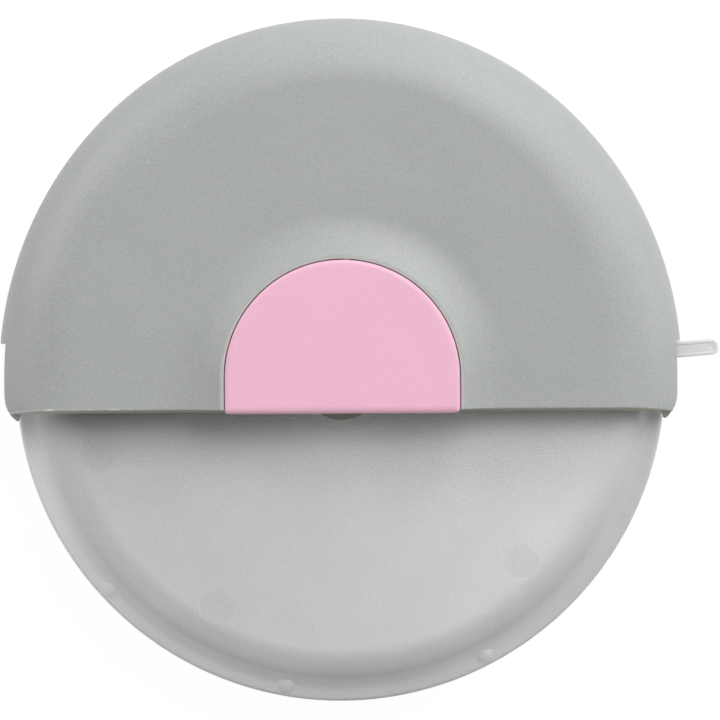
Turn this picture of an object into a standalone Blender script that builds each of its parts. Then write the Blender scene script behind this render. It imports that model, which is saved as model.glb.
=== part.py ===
"""Palm-grip wheel cutter with a swing guard, lying on its back at its real size.

X runs across the grip, Y towards the palm and Z along the axle, out of the front face. The origin
is where the axle's line meets the flat outer face of the rear hub cover. Both grip shells, both
hub covers and both guard halves are drawn above the wheel's own plane, at a height of zero, and
the rear ones are turned over or mirrored.
"""

import math

import bmesh
import bpy
from mathutils import Matrix, Vector

MM = 0.001
DEGREE = math.pi / 180.0
FULL_TURN = 2.0 * math.pi

# Wheel
BLADE_RADIUS = 47.5 * MM
BLADE_THICKNESS = 1.0 * MM
BLADE_BEVEL = 3.0 * MM
BLADE_EDGE_THICKNESS = 0.12 * MM

# Axle and what turns on it
AXLE_RADIUS = 2.5 * MM
AXLE_HEAD_RADIUS = 4.0 * MM
AXLE_HEAD_THICKNESS = 1.3 * MM
AXLE_HEAD_DEPTH = 1.8 * MM
SCREW_RADIUS = 1.5 * MM
SCREW_LENGTH = 12.0 * MM
SCREW_RUN_OUT = 1.5 * MM
SCREW_SLOT_WIDTH = 1.1 * MM
SCREW_SLOT_DEPTH = 0.7 * MM
HUB_SPIGOT_RADIUS = 4.6 * MM
HUB_FLANGE_RADIUS = 11.0 * MM
HUB_FLANGE_THICKNESS = 1.4 * MM
HUB_FLANGE_CHAMFER = 0.4 * MM
WASHER_RADIUS = 5.6 * MM
WASHER_THICKNESS = 0.5 * MM

# Swing guard
GUARD_WALL = 1.2 * MM
GUARD_HALF_CAVITY = 3.4 * MM
GUARD_SHOULDER = 4.5 * MM
GUARD_ROOT = 2.3 * MM
GUARD_FLANGE_WIDTH = 1.65 * MM
GUARD_FLANGE_THICKNESS = 0.8 * MM
GUARD_HUB_WIDTH = 2.6 * MM
GUARD_HUB_DEPTH = 1.9 * MM
GUARD_LAP = 3.5 * DEGREE
RIM_PEG_FIRST = -25.7 * DEGREE
RIM_PEG_PITCH = -37.3 * DEGREE
RIM_PEG_COUNT = 4
RIM_PEG_RADIUS = 0.8 * MM
RIM_PAD_RADIUS = 1.5 * MM
RIM_PAD_HEIGHT = 0.2 * MM
RIM_PAD_MARGIN = 0.25 * MM

# Finger tab on the guard's end
TAB_ANGLE = 4.25 * DEGREE
TAB_LENGTH = 8.6 * MM
TAB_ROOT_WIDTH = 2.6 * MM
TAB_TIP_WIDTH = 2.4 * MM
TAB_TIP_ROUND = 0.8 * MM
TAB_HALF_DEPTH = 3.5 * MM

# Grip shells
SHELL_WALL = 2.0 * MM
CROWN_RISE = 2.6 * MM
RIM_WIDTH = 10.2 * MM
GUARD_HEADROOM = 3.0 * MM
LIP_HEIGHT = 3.0 * MM
HUB_RISE = 2.6 * MM
HUB_FLARE = 7.0 * MM
HUB_LIP = 0.5 * MM
BOTTOM_EDGE = 5.2 * MM
BOTTOM_DRAFT = 15.0 * DEGREE
BOTTOM_WALL = 1.2 * MM
CORNER_RADIUS = 5.0 * MM
CORNER_START = 3.0 * MM
CORNER_INSET = 0.8 * MM
PIVOT_BOSS_RADIUS = 6.85 * MM
GUIDE_RIB_RADIUS = 34.0 * MM
GUIDE_RIB_WIDTH = 1.2 * MM
GUIDE_RIB_MARGIN = 14.0 * DEGREE
SNAP_PEG_ANGLES = (66.0 * DEGREE, 90.0 * DEGREE, 114.0 * DEGREE)
SNAP_BOSS_RADIUS = 1.9 * MM
SNAP_BOSS_HEIGHT = 3.2 * MM
SNAP_PEG_RADIUS = 0.9 * MM
SNAP_PEG_LENGTH = 2.2 * MM

# Hub covers
COVER_RADIUS = 19.0 * MM
COVER_OVERHANG = 0.65 * MM
COVER_PROUD = 0.15 * MM
COVER_SKIN = 1.5 * MM
COVER_SKIRT = 1.6 * MM
COVER_EDGE_ROUND = 0.4 * MM
COVER_CORNER_ROUND = 0.5 * MM
PRONG_ANGLES = (12.0 * DEGREE, 90.0 * DEGREE, 168.0 * DEGREE)
PRONG_CIRCLE = 13.0 * MM
PRONG_WIDTH = 4.0 * MM
PRONG_THICKNESS = 1.2 * MM
PRONG_HOOK = 0.5 * MM
PRONG_HOOK_DEPTH = 0.9 * MM

# Clearances
RUNNING_GAP = 0.1 * MM
STACK_GAP = 0.15 * MM
SEAT_GAP = 0.2 * MM
COVER_GAP = 0.25 * MM
PIVOT_GAP = 0.25 * MM
TIP_GAP = 0.8 * MM
TAB_GAP = 0.25 * MM
MOUTH_GAP = 0.4 * MM
SWING_GAP = 0.75 * MM
PEG_GAP = 0.2 * MM
SEAM_HALF_GAP = 0.1 * MM
OVERLAP = 0.3 * MM
CUT_PAST = 5.0 * MM

# Facets
ARCH_STEPS = 36
RIM_STEPS = 7
FLARE_STEPS = 4
WHEEL_STEPS = 64
GUARD_STEPS = 36
HUB_STEPS = 36
FILLET_STEPS = 4
ROOT_STEPS = 3
PEG_STEPS = 12

# Heights above the wheel's plane, from the blade outwards
hub_inner = BLADE_THICKNESS / 2.0 + STACK_GAP
hub_outer = hub_inner + HUB_FLANGE_THICKNESS
washer_inner = hub_outer + STACK_GAP
washer_outer = washer_inner + WASHER_THICKNESS
boss_end = washer_outer + STACK_GAP
flange_top = SEAM_HALF_GAP + GUARD_FLANGE_THICKNESS
guard_face = GUARD_HALF_CAVITY + GUARD_WALL
mouth_half = guard_face + MOUTH_GAP
ceiling = mouth_half + GUARD_HEADROOM
ring_face = ceiling + SHELL_WALL
mouth_top = ring_face - LIP_HEIGHT
hub_face = ring_face + HUB_RISE
cover_face = hub_face + COVER_PROUD
cover_seat = ring_face + SEAT_GAP
head_floor = ring_face - AXLE_HEAD_DEPTH
head_under = head_floor + STACK_GAP

# Radii and plan sizes, from the blade outwards
shoulder_end = BLADE_RADIUS + TIP_GAP
shoulder_start = shoulder_end - GUARD_SHOULDER
flange_inner = shoulder_end + GUARD_ROOT
guard_radius = flange_inner + GUARD_FLANGE_WIDTH
grip_half_width = guard_radius + SWING_GAP + SHELL_WALL
grip_top = grip_half_width + CROWN_RISE
axle_hole = AXLE_RADIUS + RUNNING_GAP
guard_bore = PIVOT_BOSS_RADIUS + PIVOT_GAP
guard_hub_radius = guard_bore + GUARD_HUB_WIDTH
pocket_radius = COVER_RADIUS + COVER_GAP
lip_radius = pocket_radius + HUB_LIP
flare_foot = lip_radius + HUB_FLARE
cover_bottom = BOTTOM_EDGE + COVER_OVERHANG
snap_circle = guard_radius + PEG_GAP + SNAP_BOSS_RADIUS
rim_peg_circle = guard_radius - RIM_PAD_MARGIN - RIM_PAD_RADIUS

# Guard's section, whose round shoulder runs into a hollow root
shoulder_slope = 2.0 * math.atan((guard_face - flange_top) / (GUARD_SHOULDER + GUARD_ROOT))
shoulder_round = GUARD_SHOULDER / math.sin(shoulder_slope)
root_round = GUARD_ROOT / math.sin(shoulder_slope)
under_root = root_round + GUARD_WALL
seam_slope = math.acos((flange_top + root_round - SEAM_HALF_GAP) / under_root)
seam_radius = flange_inner - under_root * math.sin(seam_slope)

# Angles, clockwise being negative as seen from the front
tab_half_angle = TAB_ROOT_WIDTH / 2.0 / guard_radius
guard_end = TAB_ANGLE + tab_half_angle
guard_start = -math.pi + GUARD_LAP
notch_angle = guard_end + TAB_GAP / grip_half_width


def clear_scene():
    for thing in list(bpy.data.objects):
        bpy.data.objects.remove(thing, do_unlink=True)


def linear(level):
    return level / 12.92 if level <= 0.04045 else ((level + 0.055) / 1.055) ** 2.4


def finish(name, colour, roughness, metallic=0.0, transmission=0.0):
    """Principled material from an sRGB hex colour."""
    material = bpy.data.materials.new(name)
    material.use_nodes = True
    shader = material.node_tree.nodes["Principled BSDF"]
    levels = [linear(int(colour[at : at + 2], 16) / 255.0) for at in (1, 3, 5)]
    shader.inputs["Base Color"].default_value = (*levels, 1.0)
    shader.inputs["Roughness"].default_value = roughness
    shader.inputs["Metallic"].default_value = metallic
    shader.inputs["Transmission Weight"].default_value = transmission
    return material


def place(name, mesh, parent, material=None):
    """Object of this mesh under its parent, smooth except at real edges."""
    data = bpy.data.meshes.new(name)
    mesh.to_mesh(data)
    mesh.free()
    data.shade_smooth()
    data.set_sharp_from_angle(angle=35.0 * DEGREE)
    if material:
        data.materials.append(material)
    thing = bpy.data.objects.new(name, data)
    bpy.context.scene.collection.objects.link(thing)
    thing.parent = parent
    return thing


def shape_with(target, mesh, operation, label):
    tool = place(f"{target.name}_{label}", mesh, target)
    tool.hide_render = True
    tool.display_type = "WIRE"
    step = target.modifiers.new(label, "BOOLEAN")
    step.operation = operation
    step.object = tool
    step.solver = "EXACT"


def cut(target, mesh, label):
    shape_with(target, mesh, "DIFFERENCE", label)


def join(target, mesh, label):
    shape_with(target, mesh, "UNION", label)


def gathered(meshes):
    """Several closed meshes held as one."""
    whole = bmesh.new()
    for mesh in meshes:
        data = bpy.data.meshes.new("gathered")
        mesh.to_mesh(data)
        mesh.free()
        whole.from_mesh(data)
        bpy.data.meshes.remove(data)
    return whole


def moved(mesh, matrix):
    bmesh.ops.transform(mesh, matrix=matrix, verts=mesh.verts)
    return mesh


def mirrored(mesh):
    """The same shape on the other side of the wheel's plane."""
    moved(mesh, Matrix.Diagonal((1.0, 1.0, -1.0, 1.0)))
    bmesh.ops.reverse_faces(mesh, faces=mesh.faces)
    return mesh


def lofted(rings):
    """Closed skin through loops of equal count, capped at both ends."""
    mesh = bmesh.new()
    loops = [[mesh.verts.new(point) for point in ring] for ring in rings]
    for lower, upper in zip(loops, loops[1:]):
        for index, corner in enumerate(lower):
            after = (index + 1) % len(lower)
            mesh.faces.new((corner, lower[after], upper[after], upper[index]))
    mesh.faces.new(loops[0])
    mesh.faces.new(loops[-1])
    bmesh.ops.recalc_face_normals(mesh, faces=mesh.faces)
    return mesh


def arched(arches):
    """Closed skin over a row of arches, with one flat foot face under them all."""
    mesh = bmesh.new()
    loops = [[mesh.verts.new(point) for point in points] for points in arches]
    for lower, upper in zip(loops, loops[1:]):
        for index in range(len(lower) - 1):
            after = index + 1
            mesh.faces.new((lower[index], lower[after], upper[after], upper[index]))
    mesh.faces.new(loops[0])
    mesh.faces.new(loops[-1])
    mesh.faces.new([loop[0] for loop in loops] + [loop[-1] for loop in reversed(loops)])
    bmesh.ops.recalc_face_normals(mesh, faces=mesh.faces)
    return mesh


def prism(outline, bottom, top):
    """Straight extrusion of an XY outline between two heights."""
    return lofted([[Vector((x, y, height)) for x, y in outline] for height in (bottom, top)])


def turned(profile, start=0.0, sweep=FULL_TURN, steps=HUB_STEPS):
    """Profile of (radius, height) points turned about the axle, with flat ends on a part turn."""
    mesh = bmesh.new()
    corners = [mesh.verts.new((radius, 0.0, height)) for radius, height in profile]
    bmesh.ops.rotate(mesh, verts=corners, matrix=Matrix.Rotation(start, 3, "Z"))
    on_axis = profile[0][0] == 0.0 and profile[-1][0] == 0.0
    pairs = list(zip(corners, corners[1:]))
    if not on_axis:
        pairs.append((corners[-1], corners[0]))
    edges = [mesh.edges.new(pair) for pair in pairs]
    bmesh.ops.spin(
        mesh,
        geom=corners + edges,
        axis=(0.0, 0.0, 1.0),
        angle=sweep,
        steps=steps,
        use_merge=sweep == FULL_TURN,
    )
    bmesh.ops.remove_doubles(mesh, verts=mesh.verts, dist=0.001 * MM)
    if sweep < FULL_TURN:
        rims = [edge for edge in mesh.edges if edge.is_boundary]
        bmesh.ops.holes_fill(mesh, edges=rims, sides=0)
    bmesh.ops.recalc_face_normals(mesh, faces=mesh.faces)
    return mesh


def polar(radius, angle):
    return radius * math.cos(angle), radius * math.sin(angle)


def ring_profile(inner, outer, bottom, top):
    return [(inner, bottom), (outer, bottom), (outer, top), (inner, top)]


def quarter(centre, reach, rise, steps=FILLET_STEPS):
    """Points of a quarter round from beside its centre to above it."""
    turns = [0.5 * math.pi * step / steps for step in range(steps + 1)]
    return [(centre[0] + reach * math.cos(t), centre[1] + rise * math.sin(t)) for t in turns]


def bow(centre, radius, start, end, steps):
    """Section points from one slope to another, hollow where the radius is negative."""
    slopes = [start + (end - start) * step / steps for step in range(steps + 1)]
    return [(centre[0] + radius * math.sin(s), centre[1] + radius * math.cos(s)) for s in slopes]


def circle(radius, steps=HUB_STEPS, centre=(0.0, 0.0)):
    return [
        (centre[0] + x, centre[1] + y)
        for x, y in (polar(radius, FULL_TURN * step / steps) for step in range(steps))
    ]


def columns(radius, pitch_radius, angles, bottom, top):
    """Equal round columns at these angles of a pitch circle."""
    centres = [polar(pitch_radius, angle) for angle in angles]
    return gathered([prism(circle(radius, PEG_STEPS, centre), bottom, top) for centre in centres])


def box(x_low, x_high, y_low, y_high, bottom, top):
    outline = [(x_low, y_low), (x_high, y_low), (x_high, y_high), (x_low, y_high)]
    return prism(outline, bottom, top)


def arch(half_width, height, foot, level):
    """Loop up one side of the grip, over its crown and down the other side."""
    points = [Vector((half_width, -foot, level))]
    for step in range(ARCH_STEPS + 1):
        angle = math.pi * step / ARCH_STEPS
        points.append(Vector((half_width * math.cos(angle), height * math.sin(angle), level)))
    points.append(Vector((-half_width, -foot, level)))
    return points


def rim_arches(half_width, height, width, low, high, foot):
    """Arches round a quarter-round rim, from its widest loop in to the flat ring."""
    rings = []
    for reach, level in quarter((0.0, low), width, high - low, RIM_STEPS):
        inset = width - reach
        rings.append(arch(half_width - inset, height - inset, foot, level))
    return rings


def flare_height(distance):
    """Rise of the hub's hollow flare above the ring, at this distance from the hub's line."""
    sweep_radius = (HUB_FLARE**2 + HUB_RISE**2) / (2.0 * HUB_RISE)
    return sweep_radius - math.sqrt(sweep_radius**2 - (flare_foot - distance) ** 2)


def bottom_at(level):
    """Depth of the bottom edge below the axle, at this height: drafted up to the ring, upright above it."""
    return BOTTOM_EDGE + max(0.0, ring_face - level) * math.tan(BOTTOM_DRAFT)


def shell_blank():
    """Outside of a grip shell: round rim, flat ring and flared hub, before its edges are cut."""
    foot = bottom_at(0.0) + CUT_PAST
    rings = rim_arches(grip_half_width, grip_top, RIM_WIDTH, SEAM_HALF_GAP, ring_face, foot)
    for step in range(FLARE_STEPS + 1):
        distance = flare_foot - HUB_FLARE * step / FLARE_STEPS
        rings.append(arch(distance, distance, foot, ring_face + flare_height(distance)))
    inside = pocket_radius - SHELL_WALL
    rings.append(arch(inside, inside, foot, hub_face))
    return arched(rings)


def shell_cavity():
    """Inside of a grip shell, one wall in from its outside and closed by the bottom wall."""
    half_width = grip_half_width - SHELL_WALL
    height = grip_top - SHELL_WALL
    foot = BOTTOM_EDGE - BOTTOM_WALL
    rings = [arch(half_width, height, foot, -CUT_PAST)]
    rings += rim_arches(half_width, height, RIM_WIDTH - SHELL_WALL, 0.0, ceiling, foot)
    core = pocket_radius + SHELL_WALL
    for step in range(FLARE_STEPS):
        distance = flare_foot + (core - flare_foot) * step / (FLARE_STEPS - 1)
        level = ceiling + flare_height(distance + (flare_foot - distance) * SHELL_WALL / HUB_FLARE)
        rings.append(arch(distance, distance, foot, level))
    rings.append(arch(core - OVERLAP, core - OVERLAP, foot, ceiling))
    return arched(rings)


def shell_mouth():
    """Opening along the bottom that the guard swings through, between the two rim walls."""
    reach = RIM_WIDTH - SHELL_WALL
    side = []
    for step in range(FILLET_STEPS + 1):
        level = mouth_top * step / FILLET_STEPS
        inset = reach * (1.0 - math.sqrt(1.0 - (level / ceiling) ** 2))
        side.append((grip_half_width - SHELL_WALL - inset - SEAM_HALF_GAP, level))
    outline = [(side[0][0], -CUT_PAST), *side]
    outline += [(-x, level) for x, level in reversed(outline)]
    past = bottom_at(0.0) + CUT_PAST
    near = BOTTOM_EDGE - BOTTOM_WALL - MM
    return lofted([[Vector((x, y, level)) for x, level in outline] for y in (-past, -near)])


def bottom_trim():
    """All that lies below the drafted bottom edge."""
    past = bottom_at(0.0) + 3.0 * CUT_PAST
    low, high = -CUT_PAST, hub_face + CUT_PAST
    profile = [(-bottom_at(level), level) for level in (low, ring_face, high)]
    profile += [(-past, high), (-past, low)]
    half = grip_half_width + CUT_PAST
    return lofted([[Vector((x, y, level)) for y, level in profile] for x in (-half, half)])


def both_sides(outline, bottom, top):
    """A cut on the right of the grip and its twin on the left."""
    twin = [(-x, y) for x, y in reversed(outline)]
    return gathered([prism(outline, bottom, top), prism(twin, bottom, top)])


def corner_trims():
    """Leaves round corners where the rim walls end at the bottom."""
    x = grip_half_width - CORNER_INSET - CORNER_RADIUS
    y = -CORNER_START
    corner = quarter((0.0, 0.0), CORNER_RADIUS, CORNER_RADIUS, 2 * FILLET_STEPS)
    outline = [(x + reach, y - drop) for reach, drop in corner]
    past_x, past_y = grip_half_width + CUT_PAST, -bottom_at(0.0) - CUT_PAST
    outline += [(x, past_y), (past_x, past_y), (past_x, y)]
    return both_sides(outline, -CUT_PAST, hub_face + CUT_PAST)


def tab_slots():
    """Slots in both rim walls that the finger tab leaves and enters, up to its two stops."""
    near = guard_radius - CUT_PAST
    far = grip_half_width + CUT_PAST
    past = bottom_at(0.0) + CUT_PAST
    slope = math.tan(notch_angle)
    outline = [(near, -past), (far, -past), (far, far * slope), (near, near * slope)]
    return both_sides(outline, -CUT_PAST, TAB_HALF_DEPTH + TAB_GAP)


def cover_pocket():
    return arched(
        [
            arch(pocket_radius, pocket_radius, bottom_at(0.0) + CUT_PAST, level)
            for level in (ring_face, hub_face + CUT_PAST)
        ]
    )


def axle_way():
    """Hole through boss and floor, with the seat for the axle's head."""
    seat = AXLE_HEAD_RADIUS + SEAT_GAP
    profile = [
        (0.0, -CUT_PAST),
        (axle_hole, -CUT_PAST),
        (axle_hole, head_floor),
        (seat, head_floor),
        (seat, hub_face),
        (0.0, hub_face),
    ]
    return turned(profile)


def snap_columns(radius, bottom, top):
    """Round columns at the snap points under the crown."""
    return columns(radius, snap_circle, SNAP_PEG_ANGLES, bottom, top)


def prong_slots():
    inner = PRONG_CIRCLE - PRONG_THICKNESS / 2.0 - SEAT_GAP
    outer = inner + PRONG_THICKNESS + PRONG_HOOK + 2.0 * SEAT_GAP
    half = PRONG_WIDTH / 2.0 + SEAT_GAP
    return gathered(
        [
            moved(
                box(inner, outer, -half, half, ceiling - CUT_PAST, ring_face + MM),
                Matrix.Rotation(angle, 4, "Z"),
            )
            for angle in PRONG_ANGLES
        ]
    )


def guide_rib():
    """Arc under the ceiling that keeps the guard flat as it swings in."""
    inner = GUIDE_RIB_RADIUS - GUIDE_RIB_WIDTH / 2.0
    outer = inner + GUIDE_RIB_WIDTH
    profile = ring_profile(inner, outer, mouth_half, ceiling + OVERLAP)
    return turned(profile, GUIDE_RIB_MARGIN, math.pi - 2.0 * GUIDE_RIB_MARGIN, ARCH_STEPS // 2)


def grip_shell(name, parent, material, turned_over):
    shell = place(name, shell_blank(), parent, material)
    cut(shell, shell_cavity(), "cavity")
    cut(shell, shell_mouth(), "mouth")
    cut(shell, bottom_trim(), "bottom_trim")
    cut(shell, corner_trims(), "corner_trims")
    cut(shell, cover_pocket(), "cover_pocket")
    join(shell, prism(circle(PIVOT_BOSS_RADIUS), boss_end, ceiling + OVERLAP), "pivot_boss")
    join(shell, guide_rib(), "guide_rib")
    join(shell, snap_columns(SNAP_BOSS_RADIUS, 1.5 * SEAM_HALF_GAP, SNAP_BOSS_HEIGHT), "snap_bosses")
    cut(shell, axle_way(), "axle_way")
    cut(shell, prong_slots(), "prong_slots")
    cut(shell, tab_slots(), "tab_slots")
    if turned_over:
        depth = SNAP_PEG_LENGTH + PEG_GAP
        cut(shell, snap_columns(SNAP_PEG_RADIUS + PEG_GAP, -CUT_PAST, depth), "snap_sockets")
        shell.rotation_euler.y = math.pi
    else:
        join(shell, snap_columns(SNAP_PEG_RADIUS, -SNAP_PEG_LENGTH, OVERLAP), "snap_pegs")


def cover_outline(inset):
    """D outline with small round corners at its straight foot, drawn in by an inset."""
    radius = COVER_RADIUS - inset
    foot = cover_bottom - inset
    corner = quarter((0.0, 0.0), COVER_CORNER_ROUND, COVER_CORNER_ROUND)
    right = [
        (radius - COVER_CORNER_ROUND + reach, COVER_CORNER_ROUND - foot - drop)
        for reach, drop in reversed(corner)
    ]
    crown = [polar(radius, math.pi * step / ARCH_STEPS) for step in range(ARCH_STEPS + 1)]
    return right + crown + [(-x, y) for x, y in reversed(right)]


def cover_plate():
    """D plate with a rounded outer edge and a skirt that stands on the pocket's floor."""
    levels = [(0.0, cover_seat)]
    for reach, rise in quarter((0.0, 0.0), COVER_EDGE_ROUND, COVER_EDGE_ROUND, FILLET_STEPS - 2):
        levels.append((COVER_EDGE_ROUND - reach, cover_face - COVER_EDGE_ROUND + rise))
    return lofted(
        [[Vector((x, y, level)) for x, y in cover_outline(inset)] for inset, level in levels]
    )


def cover_prongs():
    """Hooked prongs that snap under the floor of the pocket."""
    inner = PRONG_CIRCLE - PRONG_THICKNESS / 2.0
    outer = inner + PRONG_THICKNESS
    catch = ceiling - SEAT_GAP
    tip = catch - PRONG_HOOK_DEPTH
    top = cover_face - COVER_SKIN + OVERLAP
    profile = [
        (inner, top),
        (inner, tip),
        (outer - PRONG_HOOK, tip),
        (outer + PRONG_HOOK, catch - PRONG_HOOK),
        (outer + PRONG_HOOK, catch),
        (outer, catch),
        (outer, top),
    ]
    half = PRONG_WIDTH / 2.0
    prongs = []
    for angle in PRONG_ANGLES:
        rings = [[Vector((x, y, level)) for x, level in profile] for y in (-half, half)]
        prongs.append(moved(lofted(rings), Matrix.Rotation(angle, 4, "Z")))
    return gathered(prongs)


def hub_cover(name, parent, material, turned_over):
    cover = place(name, cover_plate(), parent, material)
    hollow = prism(cover_outline(COVER_SKIRT), cover_seat - CUT_PAST, cover_face - COVER_SKIN)
    cut(cover, hollow, "hollow")
    join(cover, cover_prongs(), "prongs")
    if turned_over:
        cover.rotation_euler.y = math.pi


def guard_section():
    """Section of one guard half: flat wall, round shoulder, hollow root and flat flange."""
    crown = (shoulder_start, guard_face - shoulder_round)
    hollow = (flange_inner, flange_top + root_round)
    start = guard_bore + GUARD_HUB_WIDTH / 2.0
    section = [(start, GUARD_HALF_CAVITY), (start, guard_face)]
    section += bow(crown, shoulder_round, 0.0, shoulder_slope, FILLET_STEPS)
    section += bow(hollow, -root_round, shoulder_slope, 0.0, ROOT_STEPS)[1:]
    section += [(guard_radius, flange_top), (guard_radius, SEAM_HALF_GAP)]
    section += bow(hollow, -under_root, seam_slope, shoulder_slope, ROOT_STEPS - 1)
    inner_round = shoulder_round - GUARD_WALL
    section += bow(crown, inner_round, shoulder_slope, 0.0, ROOT_STEPS)[1:]
    return section


def guard_hub():
    """Full ring that runs on the shell's pivot boss."""
    top = guard_face - SEAM_HALF_GAP / 2.0
    bottom = guard_face - GUARD_HUB_DEPTH
    return turned(ring_profile(guard_bore, guard_hub_radius, bottom, top))


def finger_tab():
    """Tapered tab across the guard's end, rooted in its shoulder and round at its tip."""
    tip = guard_radius + TAB_LENGTH
    corner = quarter((0.0, 0.0), TAB_TIP_ROUND, TAB_TIP_ROUND)
    rounded = [
        (tip - TAB_TIP_ROUND + reach, TAB_TIP_WIDTH / 2.0 - TAB_TIP_ROUND + rise)
        for reach, rise in reversed(corner)
    ]
    low = (seam_radius + SEAM_HALF_GAP, SEAM_HALF_GAP * 1.5)
    high = (shoulder_end - GUARD_WALL - OVERLAP, TAB_HALF_DEPTH)
    rings = []
    for root, level in (low, high):
        upper = [(root, TAB_ROOT_WIDTH / 2.0), *rounded]
        outline = upper + [(x, -y) for x, y in reversed(upper)]
        rings.append([Vector((x, y, level)) for x, y in outline])
    return moved(lofted(rings), Matrix.Rotation(TAB_ANGLE, 4, "Z"))


def rim_columns(radius, bottom, top):
    """Round columns at the points where the two guard halves are pegged together."""
    angles = [RIM_PEG_FIRST + RIM_PEG_PITCH * step for step in range(RIM_PEG_COUNT)]
    return columns(radius, rim_peg_circle, angles, bottom, top)


def guard_half(name, parent, material, is_front):
    bowl = turned(guard_section(), guard_start, guard_end - guard_start, GUARD_STEPS)
    pads = rim_columns(RIM_PAD_RADIUS, flange_top - OVERLAP, flange_top + RIM_PAD_HEIGHT)
    pieces = [bowl, guard_hub(), finger_tab(), pads]
    if not is_front:
        pieces = [mirrored(piece) for piece in pieces]
    guard = place(name, pieces[0], parent, material)
    for piece, label in zip(pieces[1:], ("hub", "finger_tab", "rim_pads")):
        join(guard, piece, label)
    if is_front:
        join(guard, rim_columns(RIM_PEG_RADIUS, -flange_top, flange_top - OVERLAP / 2.0), "rim_pegs")
    else:
        cut(guard, rim_columns(RIM_PEG_RADIUS + PEG_GAP, -CUT_PAST, CUT_PAST), "rim_peg_holes")


def blade(parent, material):
    """Flat wheel ground to a thin edge on both faces."""
    half = BLADE_THICKNESS / 2.0
    edge = BLADE_EDGE_THICKNESS / 2.0
    shoulder = BLADE_RADIUS - BLADE_BEVEL
    bore = HUB_SPIGOT_RADIUS + RUNNING_GAP
    lower = [(bore, -half), (shoulder, -half), (BLADE_RADIUS, -edge)]
    profile = lower + [(radius, -height) for radius, height in reversed(lower)]
    place("blade", turned(profile, steps=WHEEL_STEPS), parent, material)


def blade_hub(name, parent, material, is_front):
    """Flanged bush whose spigot fills half of the blade's bore."""
    chamfer = HUB_FLANGE_CHAMFER
    profile = [
        (axle_hole, SEAM_HALF_GAP),
        (HUB_SPIGOT_RADIUS, SEAM_HALF_GAP),
        (HUB_SPIGOT_RADIUS, hub_inner),
        (HUB_FLANGE_RADIUS, hub_inner),
        (HUB_FLANGE_RADIUS, hub_outer - chamfer),
        (HUB_FLANGE_RADIUS - chamfer, hub_outer),
        (axle_hole, hub_outer),
    ]
    mesh = turned(profile)
    place(name, mesh if is_front else mirrored(mesh), parent, material)


def thrust_washer(name, parent, material, is_front):
    mesh = turned(ring_profile(axle_hole, WASHER_RADIUS, washer_inner, washer_outer))
    place(name, mesh if is_front else mirrored(mesh), parent, material)


def head_profile(shank_radius):
    """Head points from under its rim, on the front side, up to the axis."""
    top = head_under + AXLE_HEAD_THICKNESS
    crown = AXLE_HEAD_RADIUS - AXLE_HEAD_THICKNESS / 3.0
    return [
        (shank_radius, head_under),
        (AXLE_HEAD_RADIUS, head_under),
        (AXLE_HEAD_RADIUS, top - AXLE_HEAD_THICKNESS / 3.0),
        (crown, top),
        (0.0, top),
    ]


def axle_barrel(parent, material):
    """Rear half of the binding post, whose plain outside is the axle."""
    far_end = head_floor - STACK_GAP
    thread_end = head_under - SCREW_LENGTH - SCREW_RUN_OUT
    thread_hole = SCREW_RADIUS + PEG_GAP
    profile = [
        (0.0, -thread_end),
        (thread_hole, -thread_end),
        (thread_hole, -far_end),
        (AXLE_RADIUS, -far_end),
        *head_profile(AXLE_RADIUS),
    ]
    place("axle_barrel", mirrored(turned(profile)), parent, material)


def axle_screw(parent, material):
    """Front half of the binding post, slotted for a coin."""
    end = head_under - SCREW_LENGTH
    point = SCREW_RADIUS / 2.0
    profile = [(0.0, end), (SCREW_RADIUS - point, end), (SCREW_RADIUS, end + point)]
    screw = place("axle_screw", turned(profile + head_profile(SCREW_RADIUS)), parent, material)
    top = head_under + AXLE_HEAD_THICKNESS
    half = SCREW_SLOT_WIDTH / 2.0
    past = AXLE_HEAD_RADIUS + MM
    cut(screw, box(-past, past, -half, half, top - SCREW_SLOT_DEPTH, top + MM), "slot")


def pivot_line(name):
    """Empty on the axle's line, in the wheel's plane."""
    empty = bpy.data.objects.new(name, None)
    empty.location.z = cover_face
    bpy.context.scene.collection.objects.link(empty)
    return empty


def build():
    clear_scene()
    grey_shell = finish("grey_moulded_shell", "#a9abaa", 0.5)
    pink_cover = finish("pink_moulded_cover", "#edbbcf", 0.45)
    frosted_guard = finish("frosted_guard", "#dcdddc", 0.4, transmission=0.6)
    blade_steel = finish("ground_blade_steel", "#c9cbcc", 0.25, metallic=1.0)
    axle_steel = finish("turned_axle_steel", "#b4b6b8", 0.3, metallic=1.0)
    white_hub = finish("white_bearing_plastic", "#e6e6e2", 0.4)

    grip = pivot_line("grip")
    guard = pivot_line("guard_swing")
    wheel = pivot_line("blade_spin")
    grip_shell("front_shell", grip, grey_shell, turned_over=False)
    grip_shell("rear_shell", grip, grey_shell, turned_over=True)
    hub_cover("front_hub_cover", grip, pink_cover, turned_over=False)
    hub_cover("rear_hub_cover", grip, pink_cover, turned_over=True)
    guard_half("guard_front", guard, frosted_guard, is_front=True)
    guard_half("guard_rear", guard, frosted_guard, is_front=False)
    blade(wheel, blade_steel)
    blade_hub("front_blade_hub", wheel, white_hub, is_front=True)
    blade_hub("rear_blade_hub", wheel, white_hub, is_front=False)
    thrust_washer("front_thrust_washer", grip, axle_steel, is_front=True)
    thrust_washer("rear_thrust_washer", grip, axle_steel, is_front=False)
    axle_barrel(grip, axle_steel)
    axle_screw(grip, axle_steel)


build()
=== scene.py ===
import math

import bmesh
import bpy
from mathutils import Matrix, Vector


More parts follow.
